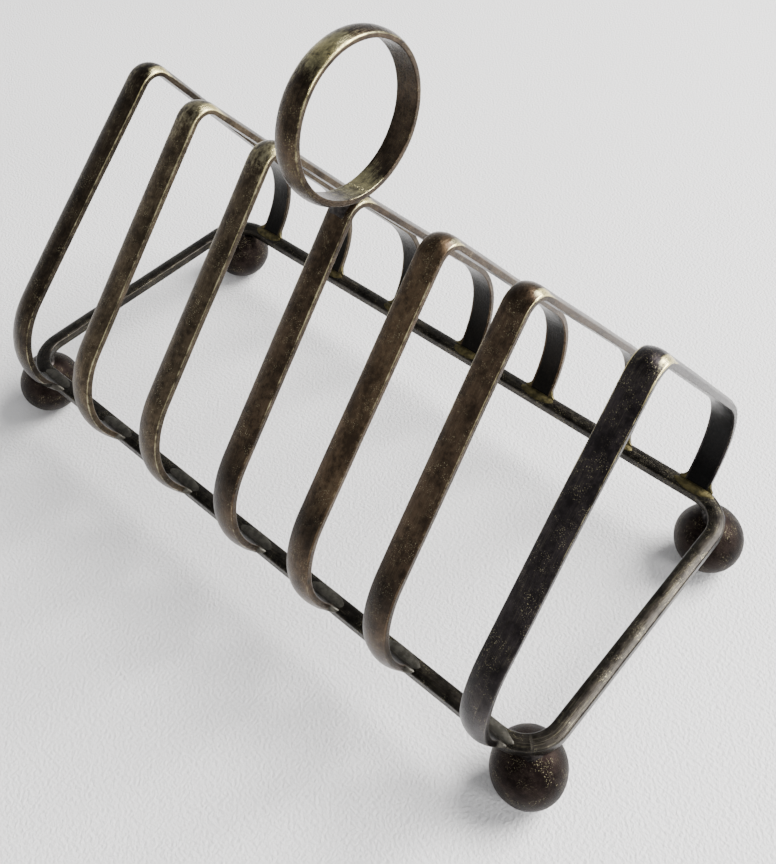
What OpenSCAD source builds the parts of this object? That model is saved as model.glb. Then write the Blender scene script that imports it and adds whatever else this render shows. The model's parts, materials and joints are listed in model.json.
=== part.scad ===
// Toast rack: a rectangular base bar on four ball feet, seven bent strip hoops that stand
// across it and hold six slices between them, and a ring handle on the middle hoop.
// X runs along the rack, Y across it and Z up. The origin is on the table, under the middle.

/* [Hoops] */
// Spacing of the hoops along the rack
hoop_pitch = 19; // [17:0.5:22]
// Width of the hoop strip, along the rack
strip_w = 4.8; // [4:0.1:6]
// Thickness of the hoop strip along its crown
strip_t = 1.8; // [1.6:0.1:2.4]
// Thickness of the hoop strip along its edges
strip_edge = 1.1; // [0.8:0.1:1.3]
// Lean of the straight legs from upright
leg_angle = 39.5; // [36:0.5:42]
// Bend radius at the top of a hoop, to the middle of the strip
top_r = 3.7; // [3.2:0.1:6]
// Bend radius at the knees, to the middle of the strip
knee_r = 18.3; // [15:0.1:20]
// How far the feet of a hoop turn back in from upright
foot_angle = 33; // [28:1:36]
// Length of the straight foot between the knee bend and the base bar
foot_l = 2.1; // [1.5:0.1:4]
// Share of the hand-set unevenness of the hoops that is kept, from none to all
unevenness = 1; // [0:0.25:1]

/* [Base] */
// Width of the base, between the middles of its long bars
base_w = 60.6; // [56:0.2:70]
// Distance from the outer hoops to the middles of the end bars
end_reach = 9; // [7.5:0.1:12]
// Width of the base bar
bar_w = 3; // [2.6:0.1:3.6]
// Height of the base bar
bar_h = 2.2; // [2:0.1:3]
// Rounding of the base bar's edges
bar_edge_r = 0.45; // [0.2:0.05:0.6]
// Bend radius at the base corners, to the middle of the bar
corner_r = 7; // [5:0.1:7.5]

/* [Feet] */
// Diameter of the ball feet
ball_d = 12.9; // [12:0.1:15]
// Height worn off the underside of each ball
foot_wear = 0.08; // [0.05:0.01:0.15]
// Depth that the base bar sits in the top of each ball
seat_depth = 0.4; // [0.3:0.05:0.6]

/* [Ring handle] */
// Inner diameter of the ring
ring_bore_d = 26.4; // [23:0.2:30]
// Width of the ring band
ring_w = 4.6; // [4:0.1:6]
// Thickness of the ring band along its crown
ring_t = 1.7; // [1.5:0.1:2.2]
// Thickness of the ring band along its rims
ring_rim = 1; // [0.8:0.1:1.3]
// Lean of the ring along the rack
ring_lean = -4; // [-6:0.5:6]
// Depth filed off the hoop and off the ring where they meet
joint_flat = 0.15; // [0.1:0.05:0.2]

/* [Solder] */
// Radius of the solder fillets beside the hoop feet
fillet_r = 1.7; // [1.2:0.1:2]
// How far the solder under the ring reaches to each side, across the rack
ring_solder_l = 3; // [2.8:0.1:3.2]
// Width of the solder under the ring
ring_solder_w = 3.4; // [2.5:0.1:4]
// Radius of the solder collars where they meet the balls
collar_r = 3.4; // [3:0.1:4]
// Radius of the solder collars at the base bar
collar_top_r = 2.7; // [2.4:0.1:3]

/* [Hidden] */
$fn = 96;
hoops = 7;
middle_hoop = (hoops + 1) / 2;

// Hand-set unevenness of the hoops: offset along the rack, offset of the top across the rack,
// lean along the rack and turn about the upright, in millimetres and degrees
hoop_shift = [1.1, 2.3, 3.8, 4.4, 3.5, 2.1, 1.2];
hoop_sway = [3, 0.5, 0, -1.3, -0.3, -0.9, -0.7];
hoop_lean = [2.5, 0, -1, 0, 0, -0.5, 2.3];
hoop_turn = [0, 0, 0.5, 0, 0.4, 1.5, 0.3];
// Hand-set offset of the ring along the rack from its hoop, in millimetres
ring_shift = 1;

base_l = (hoops - 1) * hoop_pitch + 2 * end_reach;
ball_r = ball_d / 2;
ball_z = ball_r - foot_wear;
bar_z = ball_d - foot_wear - seat_depth + bar_h / 2;
bar_top = bar_z + bar_h / 2;
bar_side = base_w / 2 + bar_w / 2;
corner_x = base_l / 2 - corner_r;
corner_y = base_w / 2 - corner_r;
ball_x = corner_x + corner_r * cos(45);
ball_y = corner_y + corner_r * sin(45);

// The base bar's two ends meet in the middle of one corner, with solder between them
seam_angle = 3;
seam_from = -45 - seam_angle / 2;

// A foot's middle line crosses the top of the bar just outside the bar's edge
foot_out = 0.4;
foot_tip = bar_h * 0.8;
foot_y = bar_side + foot_out;
heel_y = foot_y + foot_l * sin(foot_angle);
heel_z = bar_top + foot_l * cos(foot_angle);
knee_y = heel_y - knee_r * cos(foot_angle);
knee_z = heel_z + knee_r * sin(foot_angle);
leg_y = knee_y + knee_r * cos(leg_angle);
leg_z = knee_z + knee_r * sin(leg_angle);
leg_l = (leg_y - top_r * cos(leg_angle)) / sin(leg_angle);
top_z = leg_z + leg_l * cos(leg_angle) - top_r * sin(leg_angle);

ring_r = ring_bore_d / 2 + ring_t;
joint_z = top_z + top_r + strip_t / 2 - joint_flat;
ring_z = joint_z - joint_flat + ring_r;
ring_x = hoop_x(middle_hoop) + unevenness * ring_shift;
clearing = 4 * ring_r;

// Straight stretches run a little way into the bends that they meet, and are a hair slimmer
joint_lap = 0.25;
joint_step = 0.015;

function hoop_x(i) = (i - middle_hoop) * hoop_pitch + unevenness * hoop_shift[i - 1];
function top_y(i) = unevenness * hoop_sway[i - 1];
function crown_r(width, rise) = (rise * rise + width * width / 4) / (2 * rise);

// The straight leg touches the bends at its two ends. With the top of the hoop shifted towards it:
function leg_span(shift) = [knee_y - shift, knee_z - top_z];
function leg_heading(shift) = atan2(leg_span(shift)[1], leg_span(shift)[0])
    + acos((top_r - knee_r) / norm(leg_span(shift)));
function leg_length(shift) = sqrt(norm(leg_span(shift)) ^ 2 - (knee_r - top_r) ^ 2);

// Band section with a flat back at x = 0 and a domed face at x = t; its width lies along y.
// The step makes it slimmer all round.
module domed_section(width, t, edge, step = 0) {
    dome_r = crown_r(width, t - edge);
    intersection() {
        translate([step, step - width / 2]) square([t - 2 * step, width - 2 * step]);
        translate([t - dome_r, 0]) circle(r = dome_r - step);
    }
}

module strip_section(step = 0) {
    translate([-strip_t / 2, 0]) domed_section(strip_w, strip_t, strip_edge, step);
}

// Base bar section, centred on the origin: width along x, height along y
module bar_section(step = 0) {
    inner_w = bar_w - 2 * bar_edge_r;
    inner_h = bar_h - 2 * bar_edge_r;
    square([bar_w - 2 * step, inner_h], center = true);
    square([inner_w, bar_h - 2 * step], center = true);
    for (x = [-1, 1], y = [-1, 1])
        translate([x * inner_w / 2, y * inner_h / 2]) circle(r = bar_edge_r - step);
}

// Lays a shape drawn in a hoop's plane across the rack: x to Y, y to Z and z to X
module across() {
    rotate([90, 0, 90]) children();
}

module long_bar(side) {
    reach = corner_x + joint_lap;
    translate([-reach, side * base_w / 2, bar_z]) across() linear_extrude(2 * reach) bar_section(joint_step);
}

module end_bar(side) {
    reach = corner_y + joint_lap;
    translate([side * base_l / 2, reach, bar_z])
        rotate([90, 0, 0]) linear_extrude(2 * reach) bar_section(joint_step);
}

// Part of a corner's bend, between two headings seen from above
module corner_bend(side_x, side_y, from, to) {
    translate([side_x * corner_x, side_y * corner_y, bar_z])
        rotate([0, 0, from]) rotate_extrude(angle = to - from) translate([corner_r, 0]) bar_section();
}

// The base bar but for its last corner, at the right of the front
module base_but_corner() {
    for (side = [-1, 1]) {
        long_bar(side);
        end_bar(side);
    }
    corner_bend(1, 1, 0, 90);
    corner_bend(-1, 1, 90, 180);
    corner_bend(-1, -1, 180, 270);
}

module base_outline() {
    base_but_corner();
    corner_bend(1, -1, -90, 0);
}

module base_frame() {
    color([0.33, 0.29, 0.25]) {
        base_but_corner();
        corner_bend(1, -1, -90, seam_from);
        corner_bend(1, -1, seam_from + seam_angle, 0);
    }
}

module base_seam() {
    color([0.55, 0.53, 0.48]) corner_bend(1, -1, seam_from, seam_from + seam_angle);
}

// Bend of the strip about a point in the hoop's plane, between two headings of its outer face
module strip_bend(centre, radius, from, to) {
    translate([centre[0], centre[1], 0])
        rotate([0, 0, from]) rotate_extrude(angle = to - from) translate([radius, 0]) strip_section();
}

// Straight strip that starts at a point, with its outer face at a heading, and runs downwards
module strip_run(start, heading, length) {
    translate([start[0], start[1], 0]) rotate([0, 0, heading]) translate([0, joint_lap, 0])
        rotate([90, 0, 0]) linear_extrude(length + 2 * joint_lap) strip_section(joint_step);
}

// One side of a hoop below its top bend, which is shifted towards this side
module hoop_leg(shift) {
    heading = leg_heading(shift);
    strip_run([shift + top_r * cos(heading), top_z + top_r * sin(heading)], heading, leg_length(shift));
    strip_bend([knee_y, knee_z], knee_r, -foot_angle, heading);
    strip_run([heel_y, heel_z], -foot_angle, foot_l + foot_tip);
}

module hoop_strip(shift) {
    strip_bend([shift, top_z], top_r, leg_heading(shift), 180 - leg_heading(-shift));
    hoop_leg(shift);
    mirror([1, 0, 0]) hoop_leg(-shift);
}

// Stands a shape at a hoop's place, leaning and turned about the height of the base bar
module at_hoop(i) {
    translate([hoop_x(i), 0, bar_z])
        rotate(unevenness * [0, hoop_lean[i - 1], -hoop_turn[i - 1]]) translate([0, 0, -bar_z]) children();
}

// A block with its underside (side 1) or its top (side -1) at the height where the ring is joined
module joint_block(side) {
    translate([hoop_x(middle_hoop), 0, joint_z + side * clearing / 2]) cube(clearing, center = true);
}

module hoop(i) {
    color([0.27, 0.2, 0.16])
        difference() {
            at_hoop(i) across() hoop_strip(top_y(i));
            for (side = [-1, 1]) long_bar(side);
            if (i == middle_hoop) joint_block(1);
        }
}

// Concave fillet on one side of a hoop's foot, before the bar is cut out of it
module foot_fillet() {
    inner_face = -strip_t / 2;
    dip = 0.2;
    translate([foot_y, bar_top, 0]) rotate([0, 0, -foot_angle]) translate([inner_face, 0, strip_w / 2])
        rotate([90, 0, 90]) linear_extrude(strip_edge) difference() {
            translate([-bar_h / 2, 0]) square([bar_h / 2 + fillet_r - dip, fillet_r]);
            translate([fillet_r - dip, fillet_r]) circle(r = fillet_r);
        }
}

// Solder beside the feet of every hoop, along the front bar (side -1) or the rear bar (side 1)
module hoop_solder(side) {
    color([0.42, 0.37, 0.24])
        difference() {
            for (i = [1 : hoops]) at_hoop(i) across() mirror([side < 0 ? 1 : 0, 0, 0]) {
                foot_fillet();
                mirror([0, 0, 1]) foot_fillet();
            }
            long_bar(side);
        }
}

// Puts a shape drawn with its axis along z where the ring stands, leaning as the ring does
module at_ring() {
    translate([ring_x, 0, joint_z])
        rotate([0, ring_lean, 0]) translate([0, 0, ring_z - joint_z]) across() children();
}

module ring_handle() {
    color([0.5, 0.46, 0.36])
        difference() {
            at_ring() rotate_extrude() translate([ring_bore_d / 2, 0]) domed_section(ring_w, ring_t, ring_rim);
            joint_block(-1);
        }
}

// Solder in the two gaps between the bottom of the ring and the bend of the middle hoop, which
// are so thin that their curves are drawn finely
module ring_solder() {
    $fn = 720;
    solder_h = 4;
    hollow_r = 1.8;
    centre_x = (hoop_x(middle_hoop) + ring_x) / 2;
    centre_y = top_y(middle_hoop) / 2;
    color([0.2, 0.17, 0.15])
        translate([centre_x - ring_solder_w / 2, 0, 0])
            across() linear_extrude(ring_solder_w) difference() {
                translate([centre_y, joint_z]) square([2 * ring_solder_l + hollow_r, solder_h], center = true);
                intersection() {
                    translate([0, ring_z]) circle(r = ring_r);
                    translate([0, joint_z + clearing / 2]) square(clearing, center = true);
                }
                translate([top_y(middle_hoop), top_z]) circle(r = top_r + strip_t / 2);
                for (side = [-1, 1])
                    translate([centre_y + side * (ring_solder_l + hollow_r), joint_z - joint_flat]) circle(r = hollow_r);
            }
}

module foot(side_x, side_y) {
    color([0.3, 0.27, 0.24])
        difference() {
            translate([side_x * ball_x, side_y * ball_y, ball_z]) sphere(r = ball_r);
            translate([side_x * ball_x - ball_d / 2, side_y * ball_y - ball_d / 2, -ball_d]) cube(ball_d);
            base_outline();
        }
}

// Collar of solder round the top of each ball, with the base bar and the ball cut out of it
module foot_solder() {
    collar_z = ball_z + sqrt(ball_r * ball_r - collar_r * collar_r);
    collar_h = bar_z - collar_z;
    color([0.2, 0.18, 0.17])
        difference() {
            for (x = [-1, 1], y = [-1, 1]) difference() {
                translate([x * ball_x, y * ball_y, collar_z])
                    cylinder(r1 = collar_r, r2 = collar_top_r, h = collar_h);
                translate([x * ball_x, y * ball_y, ball_z]) sphere(r = ball_r);
            }
            base_outline();
        }
}

base_frame();
base_seam();
for (i = [1 : hoops]) hoop(i);
hoop_solder(-1);  // hoop_solder_front
hoop_solder(1);  // hoop_solder_rear
ring_handle();
ring_solder();
foot(-1, -1);  // foot_front_left
foot(1, -1);  // foot_front_right
foot(-1, 1);  // foot_rear_left
foot(1, 1);  // foot_rear_right
foot_solder();
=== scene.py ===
import json
import math

import bpy
import numpy as np
from mathutils import Matrix, Vector, noise


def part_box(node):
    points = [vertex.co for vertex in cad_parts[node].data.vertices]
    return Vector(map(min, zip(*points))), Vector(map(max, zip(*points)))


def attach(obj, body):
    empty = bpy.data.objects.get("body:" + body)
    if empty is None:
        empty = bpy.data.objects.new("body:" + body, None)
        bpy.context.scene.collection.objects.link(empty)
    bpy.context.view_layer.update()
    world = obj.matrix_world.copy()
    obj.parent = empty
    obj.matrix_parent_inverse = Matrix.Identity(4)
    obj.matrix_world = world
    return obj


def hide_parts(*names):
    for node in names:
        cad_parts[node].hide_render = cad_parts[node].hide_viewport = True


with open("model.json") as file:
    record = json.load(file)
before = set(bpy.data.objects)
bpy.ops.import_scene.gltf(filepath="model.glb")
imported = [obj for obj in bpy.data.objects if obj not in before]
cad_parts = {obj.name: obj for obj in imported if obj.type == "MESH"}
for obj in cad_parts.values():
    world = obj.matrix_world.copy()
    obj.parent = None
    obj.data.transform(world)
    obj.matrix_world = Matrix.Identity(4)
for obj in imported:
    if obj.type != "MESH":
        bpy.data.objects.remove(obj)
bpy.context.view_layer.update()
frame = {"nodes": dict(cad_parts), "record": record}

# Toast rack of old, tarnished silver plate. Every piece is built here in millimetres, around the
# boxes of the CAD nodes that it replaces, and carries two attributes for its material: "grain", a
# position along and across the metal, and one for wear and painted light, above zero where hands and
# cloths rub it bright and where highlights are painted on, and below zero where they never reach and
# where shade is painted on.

MM = 0.001
HOOPS = [f"hoop_{i}" for i in range(1, 8)]
MIDDLE_HOOP = HOOPS[3]
SIDES = {"front": -1, "rear": 1}
ENDS = ("left", "right")

# Edges of a mesh are sharp beyond this angle
SHARP_ANGLE = 55

# Each pattern number has its own stretch of tarnish, this far from the next. A hoop's is its own number,
# and its flares' is that much higher.
PATTERN_GAP = 300.0
BAR_PATTERN, SEAM_PATTERN, RING_PATTERN, FLARE_PATTERNS = 11, 12, 14, 50

# Hoop strip: its section, its bends, the slopes of leg and foot, the foot's length, overhang and tip, and
# to what share of its thickness the strip thins over what length of its end
STRIP_W, STRIP_T, STRIP_EDGE = 4.8, 1.8, 1.1
TOP_R, KNEE_R = 3.7, 18.3
LEG_ANGLE, FOOT_ANGLE = 39.5, 33.0
FOOT_L, FOOT_OUT, FOOT_TIP = 2.1, 0.4, 1.8
TIP_SHARE, TIP_L = 0.25, 2.2

# Unevenness of a strip in width, thickness, sideways and inwards, and the length over which each
# comes and goes. The width and thickness are shares, the others are millimetres that fade at the tips.
WIDTH_DENT, THICKNESS_DENT, SIDEWAYS_DENT, INWARDS_DENT = 0.018, 0.03, 0.22, 0.08
STRIP_WAVES = (14, 9, 33, 21)
STRIP_SEED_STEP = 20
SIDEWAYS_FADE, INWARDS_FADE = 12, 8

# Solder at the feet of the hoops: flares that widen from the strips, starting at a share of the half
# width, less below the first level above the bar than over the second, and smears along the bar
FILLET_R = 1.6
FLARE_INSET, FLARE_TIP_L, FLARE_STEP = 0.03, 2.0, 0.6
FLARE_FROM, FLARE_LOW_SPREAD, FLARE_LEVELS = 0.375, 0.35, (-1.6, 0.6)
FLARE_UNEVEN, FLARE_WAVE = 0.35, 1.5
SMEAR_L, SMEAR_W, SMEAR_T, SMEAR_SINK = 8.4, 2.5, 0.2, 0.08
SMEAR_BLUNT, SMEAR_TAPER = 0.02, 1.3
SMEAR_UNEVEN, SMEAR_WAVE = 0.15, 0.6

# Base bar, and its seam: an angle of the corner, how far it runs over the bar's ends as a share of its
# length, and its section beside the bar's
BAR_W, BAR_H, BAR_EDGE_R = 3.0, 2.2, 0.4
BAR_CROWN = 0.3
CORNER_R = 7.0
SEAM_ANGLE, SEAM_OVERLAP, SEAM_SIZE = 3.0, 0.2, 1.006

# Unevenness of the base bar in width and height, as shares, and sideways and upwards in millimetres
BAR_DENTS = (0.02, 0.03, 0.12, 0.10)
BAR_WAVES = (11, 8, 40, 50)
BAR_SEED = 80

# Ball feet, worn flat underneath, and the collars of solder above them, which sink into the balls and end
# inside the bar, this far above its middle
BALL_FLAT, BALL_DENT, BALL_PIT = 0.08, 0.07, 0.02
COLLAR_LOW_R, COLLAR_TOP_R, COLLAR_HOLLOW = 4.0, 1.35, 2.1
COLLAR_SINK, COLLAR_TOP = 0.25, 0.45
COLLAR_LUMP, COLLAR_PIT = 0.09, 0.03

# Ring handle, and the solder under it, which reaches into the middle hoop and into the ring
RING_W, RING_T, RING_RIM = 4.6, 1.7, 1.0
RING_THICKNESS_DENT, RING_WIDTH_DENT, RING_OUT_OF_ROUND = 0.04, 0.015, 0.03
JOINT_L, JOINT_W, JOINT_WAIST, JOINT_TUCK, JOINT_LUMP = 7.4, 4.4, 0.35, 0.6, 0.06
JOINT_IN_HOOP, JOINT_IN_RING = 0.7, 0.9


def box_mm(node):
    low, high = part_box(node)
    return Vector(low) / MM, Vector(high) / MM


def mount(name):
    return next(m for m in frame["record"]["mounts"] if m["name"] == name)


def wobble(seed, place, length):
    """Smooth unevenness between about -1 and 1 that comes and goes over that length"""
    return noise.noise(Vector((place / length, seed * 7.3, seed * 1.7)))


def wobbles(seed, seed_step, place, lengths):
    """One wobble for each length, from seeds that are that step apart"""
    return [wobble(seed + seed_step * k, place, length) for k, length in enumerate(lengths)]


def lump(way, fineness, shift):
    """Smooth unevenness between about -1 and 1 over all directions, which the shift makes different"""
    return noise.noise(way * fineness + Vector(shift))


def smooth(low, high, value):
    """Rises smoothly from 0 at the low value to 1 at the high one"""
    t = np.clip((value - low) / (high - low), 0, 1)
    return t * t * (3 - 2 * t)


def hump(place, centre, width):
    """A smooth bump that is 1 at its centre"""
    return np.exp(-((place - centre) / width) ** 2)


# ---------------------------------------------------------------- meshes

def loft(name, rings, grain, wear_and_painted_light=None, loop=False):
    """Closed skin through rings of points in millimetres, all of the same count. Open ends get a fan."""
    count, size = rings.shape[:2]
    points = rings.reshape(-1, 3)
    spans = range(count if loop else count - 1)
    faces = [(i * size + j, i * size + (j + 1) % size, (i + 1) % count * size + (j + 1) % size,
              (i + 1) % count * size + j) for i in spans for j in range(size)]
    grain = grain.reshape(-1, 3)
    wear_and_painted_light = np.zeros(len(points)) if wear_and_painted_light is None else wear_and_painted_light.reshape(-1)
    if not loop:
        for end in (0, count - 1):
            centre = len(points)
            points = np.vstack([points, rings[end].mean(axis=0)])
            ends = slice(end * size, (end + 1) * size)
            grain = np.vstack([grain, grain[ends].mean(axis=0)])
            wear_and_painted_light = np.append(wear_and_painted_light, wear_and_painted_light[ends].mean())
            fan = [(end * size + j, end * size + (j + 1) % size, centre) for j in range(size)]
            faces += [face[::-1] for face in fan] if end == 0 else fan
    return solid(name, points, faces, grain, wear_and_painted_light)


def solid(name, points, faces, grain, wear_and_painted_light):
    """Mesh object with outward faces, smooth but for its sharp edges, and the two attributes"""
    mesh = bpy.data.meshes.new(name)
    mesh.from_pydata((points * MM).tolist(), [], faces)
    if signed_volume(points, faces) < 0:
        mesh.flip_normals()
    mesh.attributes.new("grain", "FLOAT_VECTOR", "POINT").data.foreach_set("vector", grain.ravel())
    mesh.attributes.new("wear_and_painted_light", "FLOAT", "POINT").data.foreach_set("value", wear_and_painted_light.ravel())
    mesh.polygons.foreach_set("use_smooth", [True] * len(faces))
    mesh.set_sharp_from_angle(angle=math.radians(SHARP_ANGLE))
    mesh.update()
    piece = bpy.data.objects.new(name, mesh)
    bpy.context.scene.collection.objects.link(piece)
    return piece


def signed_volume(points, faces):
    """Six times the volume inside the faces, below zero where they face inwards"""
    total = 0
    for face in faces:
        for j in range(1, len(face) - 1):
            total += np.dot(points[face[0]], np.cross(points[face[j]], points[face[j + 1]]))
    return total


def joined(name, pieces):
    """One object made of several"""
    with bpy.context.temp_override(active_object=pieces[0], selected_editable_objects=pieces):
        bpy.ops.object.join()
    pieces[0].name = name
    return pieces[0]


def trace(start, heading, pieces, step):
    """Walks along straight and bent pieces, each (length, turn in degrees), in steps of about that size.
    Gives the distance, place and heading after each step."""
    path = [(0.0, *start, heading)]
    for length, turn in pieces:
        count = max(2, math.ceil(length / step))
        bend = math.radians(turn) / count
        chord = length / count if bend == 0 else length / count * math.sin(bend / 2) / (bend / 2)
        for _ in range(count):
            s, x, y, angle = path[-1]
            way = angle + bend / 2
            place = (x + chord * math.cos(way), y + chord * math.sin(way))
            path.append((s + length / count, *place, angle + bend))
    return np.array(path)


def rounded(corners, steps=5, fade=0.12):
    """Closed outline from corners (x, y, radius, brightening for wear and painted light), each rounded.
    The brightening fades just beyond a corner.
    """
    points, wear_and_painted_light = [], []
    for i, (x, y, r, brightening) in enumerate(corners):
        here = Vector((x, y))
        if r == 0:
            points.append(here)
            wear_and_painted_light.append(brightening)
            continue
        back = (Vector(corners[i - 1][:2]) - here).normalized()
        ahead = (Vector(corners[(i + 1) % len(corners)][:2]) - here).normalized()
        half = back.angle(ahead) / 2
        centre = here + (back + ahead).normalized() * r / math.sin(half)
        reach = r / math.tan(half)
        first = here + back * reach - centre
        sweep = math.pi - 2 * half
        side = 1 if back.cross(ahead) < 0 else -1
        points.append(here + back * (reach + fade))
        points += [centre + Matrix.Rotation(side * sweep * k / steps, 2) @ first for k in range(steps + 1)]
        points.append(here + ahead * (reach + fade))
        wear_and_painted_light += [0.0] + [brightening] * (steps + 1) + [0.0]
    return np.array([tuple(p) for p in points]), np.array(wear_and_painted_light)


def domed_outline(width, thick, edge, face_round, back_round, back_margin=0.5, dome_steps=12):
    """Band outline with a flat back at x = 0, marked for grime and painted shade, and a domed face at x =
    thick
    """
    rise = thick - edge
    dome_r = (rise * rise + width * width / 4) / (2 * rise)
    span = [width / 2 * (1 - 2 * k / dome_steps) for k in range(1, dome_steps)]
    dome = [(thick - dome_r + math.sqrt(dome_r ** 2 - y * y), y, 0, 0) for y in reversed(span)]
    back = [(0, y, 0, -1) for y in (width / 2 - back_margin, 0, back_margin - width / 2)]
    sides = [(0, -width / 2, back_round, 0), (edge, -width / 2, face_round, 1)]
    other = [(edge, width / 2, face_round, 1), (0, width / 2, back_round, 0)]
    return rounded(back + sides + dome + other)


def swept(sections, origins, outward, across):
    """Rings of the sections' points at every station: x goes outward and y goes across"""
    u = sections[..., 0:1]
    v = sections[..., 1:2]
    return origins[:, None, :] + u * outward[:, None, :] + v * across[:, None, :]


def grain_of(distance, outline, pattern):
    """Grain coordinates: the distance along the metal, then the place in its section"""
    count = len(distance)
    section = np.broadcast_to(outline, (count, *outline.shape[-2:]))
    along = np.broadcast_to(distance[:, None, None], (count, outline.shape[-2], 1))
    return np.concatenate([along + PATTERN_GAP * pattern, section], axis=2)


# ---------------------------------------------------------------- hoops

BASE_LOW, BASE_HIGH = box_mm("base_frame")
BAR_Z = (BASE_LOW.z + BASE_HIGH.z) / 2
BAR_TOP = BASE_HIGH.z
BAR_Y = BASE_HIGH.y - BAR_W / 2

LEG = math.radians(LEG_ANGLE)
FOOT = math.radians(FOOT_ANGLE)
HEEL_Y = BASE_HIGH.y + FOOT_OUT + FOOT_L * math.sin(FOOT)
HEEL_Z = BAR_TOP + FOOT_L * math.cos(FOOT)
KNEE_Y = HEEL_Y - KNEE_R * math.cos(FOOT)
KNEE_Z = HEEL_Z + KNEE_R * math.sin(FOOT)
LEG_L = (KNEE_Y + (KNEE_R - TOP_R) * math.cos(LEG)) / math.sin(LEG)
TOP_Z = KNEE_Z + (KNEE_R - TOP_R) * math.sin(LEG) + LEG_L * math.cos(LEG)


def box_middle(points):
    return (points.min(axis=0) + points.max(axis=0)) / 2


def hoop_place(node, top_depth=1):
    """How a hoop stands, from its CAD mesh: x, lean to +X, turn about the upright and sway of its top"""
    points = np.array([v.co for v in frame["nodes"][node].data.vertices]) / MM
    low, high = box_mm(node)
    top = box_middle(points[points[:, 2] > high.z - top_depth])
    feet = points[points[:, 2] < low.z + FOOT_L]
    rear = box_middle(feet[feet[:, 1] > 0])
    front = box_middle(feet[feet[:, 1] < 0])
    foot = (rear + front) / 2
    lean = math.atan2(top[0] - foot[0], top[2] - foot[2])
    turn = math.atan2(rear[0] - front[0], rear[1] - front[1])
    return foot[0] + (BAR_Z - foot[2]) * math.tan(lean), lean, turn, top[1]


def half_line(sway, step):
    """Middle line of one side of a hoop: distance from the top, y, z and the heading of its outer face"""
    span_y, span_z = KNEE_Y - sway, KNEE_Z - TOP_Z
    span = math.hypot(span_y, span_z)
    heading = math.atan2(span_z, span_y) + math.acos((TOP_R - KNEE_R) / span)
    leg = math.sqrt(span ** 2 - (KNEE_R - TOP_R) ** 2)
    top_bend = (TOP_R * (math.pi / 2 - heading), math.degrees(heading) - 90)
    knee_bend = (KNEE_R * (heading + FOOT), -math.degrees(heading + FOOT))
    leg_line = trace((sway, TOP_Z + TOP_R), 0, [top_bend, (leg, 0), knee_bend], step)
    foot_line = trace(leg_line[-1][1:3], leg_line[-1][3], [(FOOT_L, 0), (FOOT_TIP, 0)], step / 3)
    foot_line[:, 0] += leg_line[-1][0]
    line = np.vstack([leg_line, foot_line[1:]])
    line[:, 3] += math.pi / 2
    return line


def hoop_line(sway, step=0.8):
    """Middle line of a whole hoop, from its front foot to its rear foot"""
    front = half_line(-sway, step)[:0:-1] * [-1, -1, 1, -1] + [0, 0, 0, math.pi]
    return np.vstack([front, half_line(sway, step)])


def along_hoop(sections, line, side=1):
    """Rings of the sections along a hoop's line, in the plane of a hoop that hasn't been stood up yet"""
    _, y, z, heading = line.T
    flat = np.zeros_like(y)
    outward = np.stack([flat, side * np.cos(heading), np.sin(heading)], axis=1)
    across = np.tile([1.0, 0, 0], (len(line), 1))
    return swept(sections, np.stack([flat, side * y, z], axis=1), outward, across)


def stand(points, x, lean, turn):
    """Puts points drawn in a hoop's plane at the hoop's place, leaning about the height of the base bar"""
    rotation = np.array(Matrix.Rotation(-turn, 3, "Z") @ Matrix.Rotation(lean, 3, "Y"))
    pivot = np.array([0, 0, BAR_Z])
    return (points - pivot) @ rotation.T + pivot + [x, 0, 0]


def bar_distance(points):
    """Distance from the outside of the long base bars, for points given as y and z"""
    beyond = np.stack([np.abs(np.abs(points[..., 0]) - BAR_Y) - BAR_W / 2 + BAR_EDGE_R,
                       np.abs(points[..., 1] - BAR_Z) - BAR_H / 2 + BAR_EDGE_R])
    return np.linalg.norm(np.maximum(beyond, 0), axis=0) - BAR_EDGE_R


def thinned(heights, share):
    """Heights in a section that is drawn from its middle, squeezed towards its back to a share of them"""
    return -STRIP_T / 2 + (heights + STRIP_T / 2) * share


def hoop_strip(number, node):
    """One bent strip, with slight dents and an uneven line, whose tips taper onto the base bars"""
    x, lean, turn, sway = hoop_place(node)
    line = hoop_line(sway)
    s = line[:, 0]
    outline, edge = domed_outline(STRIP_W, STRIP_T, STRIP_EDGE, face_round=0.3, back_round=0.18)
    outline = outline - [STRIP_T / 2, 0]
    sections = np.repeat(outline[None], len(s), axis=0)
    for i, place in enumerate(s):
        to_tip = s[-1] - abs(place)
        width, thickness, sideways, inwards = wobbles(number, STRIP_SEED_STEP, place, STRIP_WAVES)
        sections[i, :, 1] *= 1 + WIDTH_DENT * width
        sections[i, :, 0] *= 1 - THICKNESS_DENT * (1 - thickness)
        taper = TIP_SHARE + (1 - TIP_SHARE) * smooth(0, TIP_L, to_tip)
        sections[i, :, 0] = thinned(sections[i, :, 0], taper)
        sections[i, :, 1] += SIDEWAYS_DENT * sideways * smooth(0, SIDEWAYS_FADE, to_tip)
        sections[i, :, 0] -= INWARDS_DENT * (1 + inwards) * smooth(0, INWARDS_FADE, to_tip)
    rings = stand(along_hoop(sections, line), x, lean, turn)
    return loft(f"strip_{node}", rings, grain_of(s, outline, number), strip_wear_and_light(number, line, outline, edge))


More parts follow.
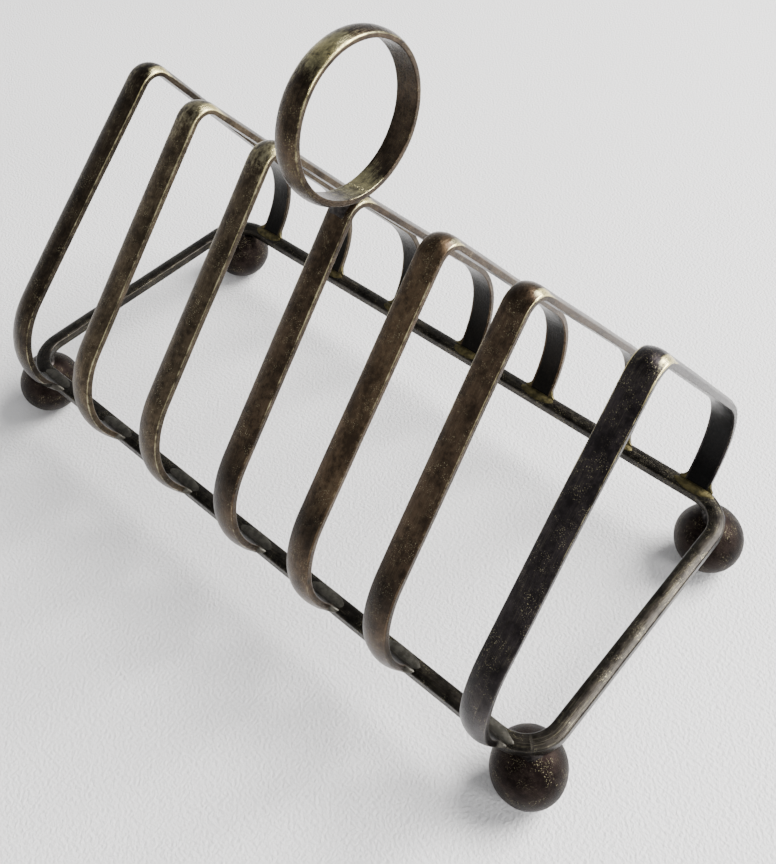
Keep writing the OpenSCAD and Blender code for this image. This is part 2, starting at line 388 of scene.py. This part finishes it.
# Wear of the strips, with painted light and shade. Each place is a distance in millimetres and how far it
# spreads: from the tip for the knees, and from the middle of the top for the rest. The knees and the top
# have an amount for each hoop: the top's is wear, below zero where it is dull, and the knees' is a painted
# reflection above zero and painted shade below it. The upper legs are painted lighter at the front and
# darker at the rear. The shoulders carry wear and a painted highlight, counted from the first height to
# the second above the back, and the back is painted black as grime and shade. The gold is on one side of
# the face, and the face starts this far below the edge.
KNEE_PLACE, TOP_PLACE, LEG_PLACE, GOLD_PLACE = (25, 11), (0, 7), (16, 9), (2, 2.2)
KNEE_LIGHT_AND_SHADE = (-0.1, 0.25, 0.0, -0.6, -0.6, -0.6, -0.5)
TOP_RUB = (0.6, 0.78, 0.85, 0.0, -0.35, 0.3, 0.55)
FRONT_LEG_PAINTED_LIGHT, REAR_LEG_PAINTED_SHADE = 0.25, -0.6
SHOULDER_WEAR_AND_HIGHLIGHT, GOLD_RUB = 1.2, 1.5
SHOULDER_HIGHLIGHT_HEIGHTS = (0.85, 1.35)
GOLD_SIDE = (0.5, 1.8)
FACE_MARGIN = 0.2


def strip_wear_and_light(number, line, outline, edge):
    """Wear and painted light at every point of a strip: wear and a painted highlight on its shoulders, grime
    and painted shade on its back, wear on the outer face of its top, painted light and shade on its knees
    and upper legs, and gold where the plate is rubbed through beside the top"""
    s, y = line[:, 0], line[:, 1]
    height = outline[:, 0] + STRIP_T / 2
    outer = height > STRIP_EDGE - FACE_MARGIN
    # The knees are painted lighter as a reflection on some hoops and darker as shade on others
    painted_knees = KNEE_LIGHT_AND_SHADE[number - 1] * hump(s[-1] - np.abs(s), *KNEE_PLACE)
    top = TOP_RUB[number - 1] * hump(s, *TOP_PLACE)
    # The upper legs are painted lighter at the front and darker at the rear, as light and shade
    painted_legs = np.where(y < 0, FRONT_LEG_PAINTED_LIGHT, REAR_LEG_PAINTED_SHADE) * hump(np.abs(s), *LEG_PLACE)
    # The shoulders carry wear and a painted highlight, and the back is painted black as grime and shade
    shoulder_highlight_and_back_shade = SHOULDER_WEAR_AND_HIGHLIGHT * edge * np.where(edge > 0, smooth(*SHOULDER_HIGHLIGHT_HEIGHTS, height), 1)
    gold = GOLD_RUB * np.outer(hump(s, *GOLD_PLACE), outer * smooth(*GOLD_SIDE, outline[:, 1]))
    return shoulder_highlight_and_back_shade + np.outer(painted_knees + top + painted_legs, outer) + gold


def foot_flare(number, node, side):
    """Solder that spreads from a strip's foot along the base bar, hollow where it leaves the strip"""
    x, lean, turn, _ = hoop_place(node)
    line = half_line(0, FLARE_STEP)
    line = line[line[:, 0] > line[-1, 0] - FOOT_TIP - FILLET_R - FLARE_STEP]
    s, _, z, _ = line.T
    outline, _ = domed_outline(STRIP_W - 2 * FLARE_INSET, STRIP_T - 2 * FLARE_INSET, STRIP_EDGE,
                               face_round=0.3, back_round=0.2)
    outline = outline - [STRIP_T / 2 - FLARE_INSET, 0]
    sections = np.repeat(outline[None], len(s), axis=0)
    gap = bar_distance(along_hoop(sections, line, side)[..., 1:])
    uneven = [wobble(number * 3 + side, v, FLARE_WAVE) for v in outline[:, 1]]
    reach = FILLET_R * (1 + FLARE_UNEVEN * np.array(uneven))
    inside = np.clip(reach - np.clip(gap, 0, None), 0, reach)
    spread = reach - np.sqrt(reach ** 2 - inside ** 2)
    spread *= FLARE_LOW_SPREAD + (1 - FLARE_LOW_SPREAD) * smooth(*FLARE_LEVELS, z - BAR_TOP)[:, None]
    from_middle = np.abs(outline[:, 1]) / (STRIP_W / 2)
    share = np.clip((from_middle - FLARE_FROM) / (1 - FLARE_FROM), 0, 1)
    sections[..., 1] += np.sign(outline[:, 1]) * share * spread
    tip = smooth(0, FLARE_TIP_L, FOOT_TIP - (s[-1] - s))[:, None]
    sections[..., 0] = thinned(sections[..., 0], 1 - (1 - TIP_SHARE) * tip)
    rings = stand(along_hoop(sections, line, side), x, lean, turn)
    return loft(f"flare_{node}_{side}", rings, grain_of(s, outline, number + FLARE_PATTERNS))


def solder_smear(number, node, side, stations=31, around=28):
    """Thin, uneven skin of solder that has run along the top of the base bar beside a foot"""
    x, _, turn, _ = hoop_place(node)
    foot_x = x + side * BAR_Y * math.sin(turn)
    rings = []
    for along in np.linspace(-1, 1, stations):
        from_foot = along * SMEAR_L / 2
        edge = math.sqrt(max(0.0, 1 - along ** 2)) + SMEAR_BLUNT
        uneven = 1 + SMEAR_UNEVEN * wobble(number * 3 + side, from_foot, SMEAR_WAVE)
        half_w = SMEAR_W / 2 * edge ** SMEAR_TAPER * uneven
        for j in range(around):
            angle = 2 * math.pi * j / around
            y = half_w * math.cos(angle)
            crown = BAR_TOP - BAR_CROWN * (2 * y / BAR_W) ** 2 - SMEAR_SINK * (1 - edge)
            rings.append((foot_x + from_foot, side * BAR_Y + y, crown + SMEAR_T / 2 * edge * math.sin(angle)))
    rings = np.array(rings).reshape(-1, around, 3)
    return loft(f"smear_{node}_{side}", rings, rings + [PATTERN_GAP * number, 0, 0])


# ---------------------------------------------------------------- base bar

def base_line(step=1.0):
    """Middle line of the base bar from one side of its seam round to the other, seen from above"""
    half_x = BASE_HIGH.x - BAR_W / 2 - CORNER_R
    half_y = BAR_Y - CORNER_R
    open_corner = 45 - SEAM_ANGLE / 2
    start = math.radians(-open_corner)
    quarter = (CORNER_R * math.pi / 2, 90)
    cut = (CORNER_R * math.radians(open_corner), open_corner)
    end_bar = (2 * half_y, 0)
    side_bar = (2 * half_x, 0)
    pieces = [cut, end_bar, quarter, side_bar, quarter, end_bar, quarter, side_bar, cut]
    corner = (half_x + CORNER_R * math.cos(start), -half_y + CORNER_R * math.sin(start))
    return trace(corner, start + math.pi / 2, pieces, step)


def bar_outline():
    """Section of the base bar, crowned on top, with its upper corners rubbed"""
    x, y = BAR_W / 2, BAR_H / 2
    corners = [(x, -y, BAR_EDGE_R, 0), (x, y - BAR_CROWN, BAR_EDGE_R, 1)]
    corners += [(x * t, y - BAR_CROWN * t * t, 0, 0) for t in (0.5, 0.25, 0, -0.25, -0.5)]
    corners += [(-x, y - BAR_CROWN, BAR_EDGE_R, 1), (-x, -y, BAR_EDGE_R, 0)]
    return rounded(corners)


def bar_rings(line, outline, size=1.0):
    """The bar's rings along a line, with slight dents"""
    s, x, y, heading = line.T
    sections = np.repeat(outline[None] * size, len(s), axis=0)
    for i, place in enumerate(s):
        dents = np.multiply(BAR_DENTS, wobbles(BAR_SEED, 1, place, BAR_WAVES))
        sections[i] *= 1 + dents[:2]
        sections[i] += dents[2:]
    outward = np.stack([np.sin(heading), -np.cos(heading), np.zeros_like(s)], axis=1)
    up = np.tile([0, 0, 1.0], (len(s), 1))
    return swept(sections, np.stack([x, y, np.full_like(s, BAR_Z)], axis=1), outward, up)


def base_bar(brightening=0.7):
    outline, edge = bar_outline()
    line = base_line()
    wear_and_painted_light = brightening * np.repeat(edge[None], len(line), axis=0)
    return loft("bar_base_frame", bar_rings(line, outline), grain_of(line[:, 0], outline, BAR_PATTERN), wear_and_painted_light)


def base_seam(stations=8):
    """Solder between the two ends of the base bar, a little proud of them"""
    outline, _ = bar_outline()
    line = base_line()
    first, last = line[0].copy(), line[-1]
    first[3] += 2 * math.pi
    share = np.linspace(-SEAM_OVERLAP, 1 + SEAM_OVERLAP, stations)[:, None]
    across = last * (1 - share) + first * share
    across[:, 0] = share[:, 0] * SEAM_ANGLE
    rings = bar_rings(across, outline, SEAM_SIZE)
    return loft("solder_base_seam", rings, grain_of(across[:, 0], outline, SEAM_PATTERN))


# ---------------------------------------------------------------- ball feet

def ball_place(node):
    """Centre, radius and lowest height of a ball"""
    low, high = box_mm(node)
    radius = (high.x - low.x) / 2
    centre = Vector(((low.x + high.x) / 2, (low.y + high.y) / 2, low.z + radius - BALL_FLAT))
    return centre, radius, low.z


def ball(number, node, around=96, up=72):
    """Solid ball, slightly out of round, with a worn flat underneath"""
    centre, radius, floor = ball_place(node)
    rings, grain = [], []
    for i in range(1, up):
        polar = math.pi * i / up
        level = math.sin(polar)
        for j in range(around):
            azimuth = 2 * math.pi * j / around
            way = Vector((level * math.cos(azimuth), level * math.sin(azimuth), -math.cos(polar)))
            dent = BALL_DENT * (1 + lump(way, 1.3, (number * 5.0, 0, 0)))
            dent += BALL_PIT * (1 + lump(way, 5, (0, number * 5.0, 0)))
            point = way * (radius - dent * level ** 0.5)
            place = centre + point
            rings.append((place.x, place.y, max(place.z, floor)))
            grain.append(tuple(point + Vector((number * PATTERN_GAP, 0, 0))))
    return loft(f"ball_{node}", np.array(rings).reshape(up - 1, around, 3), np.array(grain))


def collar(number, node, around=72, up=14):
    """Solder that holds a ball to the underside of the base bar, hollow between the two"""
    centre, radius, _ = ball_place(node)
    low_z = centre.z + math.sqrt(radius ** 2 - COLLAR_LOW_R ** 2) - COLLAR_SINK
    top_z = BAR_Z + COLLAR_TOP
    rings, grain = [], []
    for i in range(up):
        share = i / (up - 1)
        hollow = (1 - share) ** COLLAR_HOLLOW
        for j in range(around):
            azimuth = 2 * math.pi * j / around
            way = Vector((math.cos(azimuth), math.sin(azimuth), 0))
            uneven = 1 + COLLAR_LUMP * lump(way, 1.4, (number * 9.0, 0, share))
            uneven += COLLAR_PIT * lump(way, 5, (number * 9.0, 3, share * 3))
            r = (COLLAR_TOP_R + (COLLAR_LOW_R - COLLAR_TOP_R) * hollow) * uneven
            point = way * r + Vector((0, 0, low_z + (top_z - low_z) * share))
            rings.append((centre.x + point.x, centre.y + point.y, point.z))
            grain.append(tuple(point + Vector((number * PATTERN_GAP, 0, 0))))
    return loft(f"collar_{node}", np.array(rings).reshape(up, around, 3), np.array(grain))


# ---------------------------------------------------------------- ring handle

RING_HOLE = mount("ring_hole")
RING_CENTRE = Vector(RING_HOLE["pos_m"]) / MM
RING_AXIS = Vector(RING_HOLE["axis"]).normalized()
RING_BORE_R = RING_HOLE["dims"]["r_mm"]

# Wear of the ring, and painted shade in its bore: each place is an angle from its lowest point and how
# far it spreads, in degrees. The bore reaches this far out from the ring's inside.
CROWN_PLACE, FLOOR_PLACE, DULL_PLACE = (196, 30), (0, 35), (332, 24)
CROWN_RUB, FLOOR_RUB, DULL_RUB = 1.1, 1.5, -0.7
# The bore is darkened, as grime and painted shade
RIM_RUB, BORE_GRIME_AND_SHADE = 0.7, -0.45
BORE_MARGIN = 0.1


def ring_band(step=2.5):
    """The ring, from its joint with the middle hoop round to the same place, flat inside and domed outside"""
    angles = np.radians(np.arange(0, 360 + step / 2, step))
    down = Vector((0, 0, -1))
    down = (down - RING_AXIS * down.dot(RING_AXIS)).normalized()
    side = RING_AXIS.cross(down)
    outward = np.array([down * math.cos(a) + side * math.sin(a) for a in angles])
    across = np.tile(RING_AXIS, (len(angles), 1))
    outline, edge = domed_outline(RING_W, RING_T, RING_RIM, face_round=0.28, back_round=0.2)
    s = angles * (RING_BORE_R + RING_T / 2)
    sections = np.repeat(outline[None], len(s), axis=0)
    for i, angle in enumerate(angles):
        way = Vector((math.cos(angle), math.sin(angle), 0))
        sections[i, :, 0] *= 1 - RING_THICKNESS_DENT * (1 - lump(way, 2.5, (0, 6, 0)))
        sections[i, :, 1] *= 1 - RING_WIDTH_DENT * (1 - lump(way, 3, (9, 0, 0)))
        sections[i, :, 0] -= RING_OUT_OF_ROUND * (1 + lump(way, 1.1, (3, 0, 0)))
    origins = np.array([RING_CENTRE + Vector(o) * RING_BORE_R for o in outward])
    rings = swept(sections, origins, outward, across)
    wear_and_painted_light = ring_wear_and_shade(np.degrees(angles), outline, edge)
    return loft("band_ring_handle", rings[:-1], grain_of(s[:-1], outline, RING_PATTERN), wear_and_painted_light[:-1], loop=True)


def ring_wear_and_shade(degrees, outline, edge):
    """Wear and painted shade at every point of the ring: its rims, its crown, and its bore, dark with grime
    and painted shade but bright at its lowest
    """
    outer = outline[:, 0] > RING_RIM - FACE_MARGIN
    inner = outline[:, 0] < BORE_MARGIN
    face = CROWN_RUB * hump(degrees, *CROWN_PLACE) + DULL_RUB * hump(degrees, *DULL_PLACE)
    # The bore is painted dark, as grime and shade, but for a rubbed patch at its lowest
    bore = BORE_GRIME_AND_SHADE + FLOOR_RUB * hump(np.minimum(degrees, 360 - degrees), *FLOOR_PLACE)
    return RIM_RUB * np.maximum(edge, 0) + np.outer(face, outer) + np.outer(bore, inner)


def ring_joint(stations=25, around=40):
    """Solder between the bottom of the ring and the bend of the middle hoop"""
    hoop_x, _, _, sway = hoop_place(MIDDLE_HOOP)
    ring_r = RING_BORE_R + RING_T
    hoop_r = TOP_R + STRIP_T / 2
    reach = JOINT_L / 2
    rings = []
    for y in np.linspace(-reach, reach, stations):
        low = TOP_Z + math.sqrt(hoop_r ** 2 - y * y) - JOINT_IN_HOOP
        high = RING_CENTRE.z - math.sqrt(ring_r ** 2 - y * y) + JOINT_IN_RING
        for j in range(around):
            angle = 2 * math.pi * j / around
            across, up = math.cos(angle), math.sin(angle)
            waist = 1 - JOINT_WAIST * (1 - up * up)
            tuck = JOINT_TUCK * (1 - up * up) * (abs(y) / reach) ** 4 * math.copysign(1, y)
            uneven = 1 + JOINT_LUMP * lump(Vector((across, up, 0)), 2, (0, 0, y))
            half_w = JOINT_W / 2 * waist * uneven * math.copysign(abs(across) ** 0.5, across)
            rings.append((hoop_x + half_w, sway + y - tuck, (low + high) / 2 + (high - low) / 2 * up))
    rings = np.array(rings).reshape(stations, around, 3)
    return loft("solder_ring", rings, rings)


# ---------------------------------------------------------------- materials

class Paint:
    """Short names for the nodes of a material"""

    def __init__(self, name):
        self.material = bpy.data.materials.new(name)
        self.material.use_nodes = True
        self.tree = self.material.node_tree
        self.shader = self.tree.nodes["Principled BSDF"]

    def node(self, kind, inputs, **settings):
        node = self.tree.nodes.new(kind)
        for key, value in settings.items():
            setattr(node, key, value)
        for socket, value in inputs.items():
            self.set(node.inputs[socket], value)
        return node

    def set(self, socket, value):
        if isinstance(value, bpy.types.NodeSocket):
            self.tree.links.new(value, socket)
        else:
            socket.default_value = value

    def attribute(self, name):
        return self.node("ShaderNodeAttribute", {}, attribute_name=name)

    def place(self):
        return self.node("ShaderNodeTexCoord", {}).outputs["Object"]

    def stretch(self, vector, scale):
        return self.node("ShaderNodeVectorMath", {0: vector, 1: scale}, operation="MULTIPLY").outputs[0]

    def noise(self, vector, scale, detail, roughness):
        inputs = {"Vector": vector, "Scale": scale, "Detail": detail, "Roughness": roughness}
        return self.node("ShaderNodeTexNoise", inputs).outputs["Fac"]

    def math(self, operation, a, b):
        return self.node("ShaderNodeMath", {0: a, 1: b}, operation=operation).outputs[0]

    def times(self, a, b):
        return self.math("MULTIPLY", a, b)

    def total(self, first, *others):
        for value in others:
            first = self.math("ADD", first, value)
        return first

    def about(self, fac, amount):
        """How far a noise is above or below its middle, times the amount"""
        return self.times(self.math("SUBTRACT", fac, 0.5), amount)

    def spread(self, value, low, high, to_low=0.0, to_high=1.0):
        """Stretches a range of values smoothly over another"""
        inputs = {"Value": value, "From Min": low, "From Max": high, "To Min": to_low, "To Max": to_high}
        return self.node("ShaderNodeMapRange", inputs, interpolation_type="SMOOTHSTEP").outputs["Result"]

    def blend(self, share, first, second):
        node = self.node("ShaderNodeMix", {}, data_type="RGBA")
        for socket, value in zip((node.inputs[0], node.inputs[6], node.inputs[7]), (share, first, second)):
            self.set(socket, value)
        return node.outputs[2]

    def bump(self, height, distance, strength, normal=None):
        inputs = {"Height": height, "Distance": distance, "Strength": strength}
        if normal:
            inputs["Normal"] = normal
        return self.node("ShaderNodeBump", inputs).outputs["Normal"]

    def finish(self, colour, roughness, normal, metallic=0.0):
        self.set(self.shader.inputs["Base Color"], colour)
        self.set(self.shader.inputs["Roughness"], roughness)
        self.set(self.shader.inputs["Normal"], normal)
        self.set(self.shader.inputs["Metallic"], metallic)
        return self.material


def rgb(red, green, blue):
    return (red, green, blue, 1.0)


def shade(colour, share):
    return rgb(*(share * channel for channel in colour[:3]))


BARE_SILVER = rgb(0.38, 0.345, 0.21)
WARM_SILVER = rgb(0.34, 0.31, 0.17)
GOLD = rgb(0.78, 0.66, 0.28)
# Black, for grime and for painted shade on faces turned inwards and on darkened knees and legs
GRIME_AND_SHADE = rgb(0.003, 0.003, 0.003)


def old_silver(name, tarnish, bare, bareness, roughness=0.34, scratched=0.14, coat=0.1):
    """Silver plate gone brown: mottled tarnish with fine scratches along the grain, bare metal where it is
    rubbed and where a highlight is painted, gold where it is rubbed through, and black where it isn't,
    as grime and painted shade"""
    paint = Paint(name)
    grain = paint.attribute("grain").outputs["Vector"]
    wear_and_painted_light = paint.attribute("wear_and_painted_light").outputs["Fac"]
    patch = paint.noise(paint.stretch(grain, (0.20, 0.35, 0.35)), 1.0, 4.0, 0.6)
    cloud = paint.noise(paint.stretch(grain, (0.9, 1.2, 1.2)), 1.0, 6.0, 0.72)
    streak = paint.noise(paint.stretch(grain, (0.10, 3.4, 3.4)), 1.0, 4.0, 0.6)
    hair = paint.noise(paint.stretch(grain, (0.22, 17.0, 17.0)), 1.0, 2.0, 0.5)
    speck = paint.noise(grain, 6.5, 1.0, 0.5)
    crowd = paint.noise(grain, 0.45, 2.0, 0.5)

    # Tarnish, with scratches and dots of bare metal in some patches of it
    tone = paint.total(paint.times(patch, 0.45), paint.times(cloud, 0.5), paint.times(streak, 0.05))
    colour = paint.blend(paint.spread(tone, 0.38, 0.62), shade(tarnish, 0.42), shade(tarnish, 1.35))
    scratch = paint.times(paint.spread(hair, 0.56, 0.72), paint.spread(patch, 0.36, 0.62))
    colour = paint.blend(paint.times(scratch, scratched), colour, bare)
    dot = paint.times(paint.spread(speck, 0.63, 0.72), paint.spread(crowd, 0.45, 0.65))
    colour = paint.blend(paint.times(dot, 0.75), colour, bare)

    # Rubbed metal and painted highlights, then gold, which also tints the brightest highlights, then grime
    # and painted shade
    brightening = paint.total(paint.times(wear_and_painted_light, 0.62), bareness, paint.about(cloud, 1.1), paint.about(patch, 1.0),
                      paint.about(streak, 0.25))
    bared_and_lit = paint.spread(brightening, 0.30, 0.85)
    colour = paint.blend(bared_and_lit, colour, bare)
    gold = paint.times(paint.spread(wear_and_painted_light, 0.9, 1.5), paint.spread(cloud, 0.3, 0.65))
    colour = paint.blend(gold, colour, GOLD)
    colour = paint.blend(paint.times(paint.spread(wear_and_painted_light, -0.25, -0.8), 0.95), colour, GRIME_AND_SHADE)

    rough = paint.total(roughness, paint.about(hair, 0.22), paint.about(cloud, 0.25),
                        paint.times(bared_and_lit, -0.07))
    lines = paint.total(paint.times(streak, 0.5), paint.times(hair, 0.7))
    normal = paint.bump(lines, 0.00006, 0.55)
    normal = paint.bump(paint.total(cloud, paint.times(speck, 0.35)), 0.00012, 0.45, normal)
    paint.shader.inputs["Coat Weight"].default_value = coat
    paint.shader.inputs["Coat Roughness"].default_value = 0.22
    return paint.finish(colour, rough, normal, metallic=1.0)


def solder_metal(name, dark, light, speckle, roughness=0.42):
    """Lumpy solder, clouded between a dark and a light colour, with specks of a third"""
    paint = Paint(name)
    grain = paint.attribute("grain").outputs["Vector"]
    cloud = paint.noise(grain, 0.9, 5.0, 0.65)
    speck = paint.noise(grain, 4.2, 3.0, 0.6)
    colour = paint.blend(paint.spread(cloud, 0.38, 0.62), dark, light)
    colour = paint.blend(paint.spread(speck, 0.58, 0.74, 0.0, 0.6), colour, speckle)
    rough = paint.total(roughness, paint.about(speck, 0.35))
    normal = paint.bump(paint.total(cloud, paint.times(speck, 0.4)), 0.0001, 0.3)
    return paint.finish(colour, rough, normal, metallic=1.0)


def white_paper():
    """Matt white paper with a fine tooth"""
    paint = Paint("white_paper")
    fibre = paint.noise(paint.place(), 1700.0, 2.0, 0.5)
    cloud = paint.noise(paint.place(), 9.0, 2.0, 0.5)
    colour = paint.blend(cloud, rgb(0.82, 0.81, 0.81), rgb(0.87, 0.86, 0.865))
    normal = paint.bump(fibre, 0.0007, 0.5)
    rough = paint.spread(fibre, 0.3, 0.7, 0.62, 0.72)
    return paint.finish(colour, rough, normal)


# ---------------------------------------------------------------- building the rack

# Mean colour of each hoop's tarnish, and how much bare metal shows
HOOP_TARNISH = [
    (rgb(0.027, 0.019, 0.012), -0.02),
    (rgb(0.065, 0.048, 0.030), 0.03),
    (rgb(0.056, 0.041, 0.026), 0.01),
    (rgb(0.051, 0.034, 0.021), 0.03),
    (rgb(0.067, 0.044, 0.026), -0.04),
    (rgb(0.053, 0.035, 0.022), -0.08),
    (rgb(0.022, 0.018, 0.019), -0.14),
]


def put(piece, material, slot, *nodes):
    """Gives a finished piece its material and its place in the frame"""
    piece.data.materials.append(material)
    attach(piece, "root")
    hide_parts(*nodes)


def build_hoops():
    for number, (node, (tarnish, bareness)) in enumerate(zip(HOOPS, HOOP_TARNISH), start=1):
        silver = old_silver(f"silver_{node}", tarnish, BARE_SILVER, bareness)
        put(hoop_strip(number, node), silver, "hoop_silver", node)
    solders = {
        "front": solder_metal("grey_solder", dark=rgb(0.05, 0.047, 0.04), light=rgb(0.085, 0.08, 0.068),
                              speckle=rgb(0.05, 0.048, 0.042)),
        "rear": solder_metal("olive_solder", dark=rgb(0.05, 0.043, 0.022), light=rgb(0.12, 0.10, 0.045),
                             speckle=rgb(0.13, 0.11, 0.05)),
    }
    for word, side in SIDES.items():
        flares = [make(number, node, side) for number, node in enumerate(HOOPS, start=1)
                  for make in (foot_flare, solder_smear)]
        put(joined(f"flares_{word}", flares), solders[word], "foot_solder_grey", f"hoop_solder_{word}")


def build_base():
    silver = old_silver("silver_base", rgb(0.023, 0.020, 0.017), BARE_SILVER, -0.30, scratched=0.2)
    put(base_bar(), silver, "base_silver", "base_frame")
    solder = solder_metal("bright_solder", dark=rgb(0.02, 0.018, 0.016), light=rgb(0.05, 0.045, 0.036),
                          speckle=rgb(0.11, 0.10, 0.08), roughness=0.4)
    put(base_seam(), solder, "seam_solder", "base_seam")


def build_ring_and_feet():
    ring_silver = old_silver("silver_ring", rgb(0.045, 0.031, 0.020), WARM_SILVER, -0.01, roughness=0.27)
    put(ring_band(), ring_silver, "ring_silver", "ring_handle")
    solder = solder_metal("dark_solder", dark=rgb(0.009, 0.008, 0.008), light=rgb(0.036, 0.031, 0.029),
                          speckle=rgb(0.10, 0.09, 0.08))
    put(ring_joint(), solder, "dark_solder", "ring_solder")
    ball_silver = old_silver("silver_balls", rgb(0.016, 0.011, 0.010), BARE_SILVER, -0.20,
                             roughness=0.55, coat=0.0)
    feet = [f"foot_{side}_{end}" for side in SIDES for end in ENDS]
    for number, node in enumerate(feet, start=1):
        put(ball(number, node), ball_silver, "ball_silver", node)
    collars = joined("collars", [collar(number, node) for number, node in enumerate(feet, start=1)])
    put(collars, solder, "dark_solder", "foot_solder")


# ---------------------------------------------------------------- table, light and camera

def table():
    half = 4.0
    corners = [(-half, -half, 0), (half, -half, 0), (half, half, 0), (-half, half, 0)]
    mesh = bpy.data.meshes.new("table")
    mesh.from_pydata(corners, [], [tuple(range(len(corners)))])
    floor = bpy.data.objects.new("table", mesh)
    bpy.context.scene.collection.objects.link(floor)
    floor.data.materials.append(white_paper())


def area_light(name, azimuth, elevation, distance, size, power, colour):
    """A square lamp that faces the rack. Azimuth 0 is on the side of -Y and 90 on the side of +X."""
    a, e = math.radians(azimuth), math.radians(elevation)
    target = Vector((0, 0, 0.04))
    way = Vector((math.sin(a) * math.cos(e), -math.cos(a) * math.cos(e), math.sin(e)))
    light = bpy.data.lights.new(name, "AREA")
    light.size, light.energy, light.color = size, power, colour
    lamp = bpy.data.objects.new(name, light)
    lamp.location = target + way * distance
    lamp.rotation_euler = way.to_track_quat("Z", "Y").to_euler()
    bpy.context.scene.collection.objects.link(lamp)


def sky(brightness=0.88):
    """A pale room, brightest along its walls and darker overhead"""
    walls, wall_top = rgb(1.0, 1.0, 1.0), 0.3
    ceiling, ceiling_edge = rgb(0.40, 0.41, 0.425), 0.75
    world = bpy.data.worlds.new("room")
    world.use_nodes = True
    tree = world.node_tree
    background = tree.nodes["Background"]
    way = tree.nodes.new("ShaderNodeTexCoord")
    split = tree.nodes.new("ShaderNodeSeparateXYZ")
    ramp = tree.nodes.new("ShaderNodeValToRGB")
    for stop, place, colour in zip(ramp.color_ramp.elements, (wall_top, ceiling_edge), (walls, ceiling)):
        stop.position = place
        stop.color = colour
    tree.links.new(way.outputs["Generated"], split.inputs[0])
    tree.links.new(split.outputs["Z"], ramp.inputs[0])
    tree.links.new(ramp.outputs[0], background.inputs[0])
    background.inputs[1].default_value = brightness
    bpy.context.scene.world = world


def camera():
    """Looks down along the rack from its right front, as the photograph does"""
    place = Vector((0.1103, -0.1064, 0.1922))
    heading, dip, roll = math.radians(132.85), math.radians(38.21), math.radians(-2.0)
    forward = Vector((math.cos(dip) * math.cos(heading), math.cos(dip) * math.sin(heading), -math.sin(dip)))
    right = forward.cross(Vector((0, 0, 1))).normalized()
    up = right.cross(forward)
    x_axis = right * math.cos(roll) + up * math.sin(roll)
    y_axis = up * math.cos(roll) - right * math.sin(roll)
    data = bpy.data.cameras.new("camera")
    data.lens, data.sensor_width = 48.5, 36.0
    data.shift_y = -0.2714
    data.clip_start = 0.01
    view = bpy.data.objects.new("camera", data)
    view.matrix_world = Matrix.Translation(place) @ Matrix((x_axis, y_axis, -forward)).transposed().to_4x4()
    bpy.context.scene.collection.objects.link(view)
    bpy.context.scene.camera = view


build_hoops()
build_base()
build_ring_and_feet()
table()
sky()
area_light("window", azimuth=145, elevation=42, distance=1.3, size=0.8, power=57.0,
           colour=(1.0, 0.99, 0.97))
area_light("side_window", azimuth=88, elevation=27, distance=1.5, size=0.4, power=12.0,
           colour=(1.0, 1.0, 1.0))
camera()
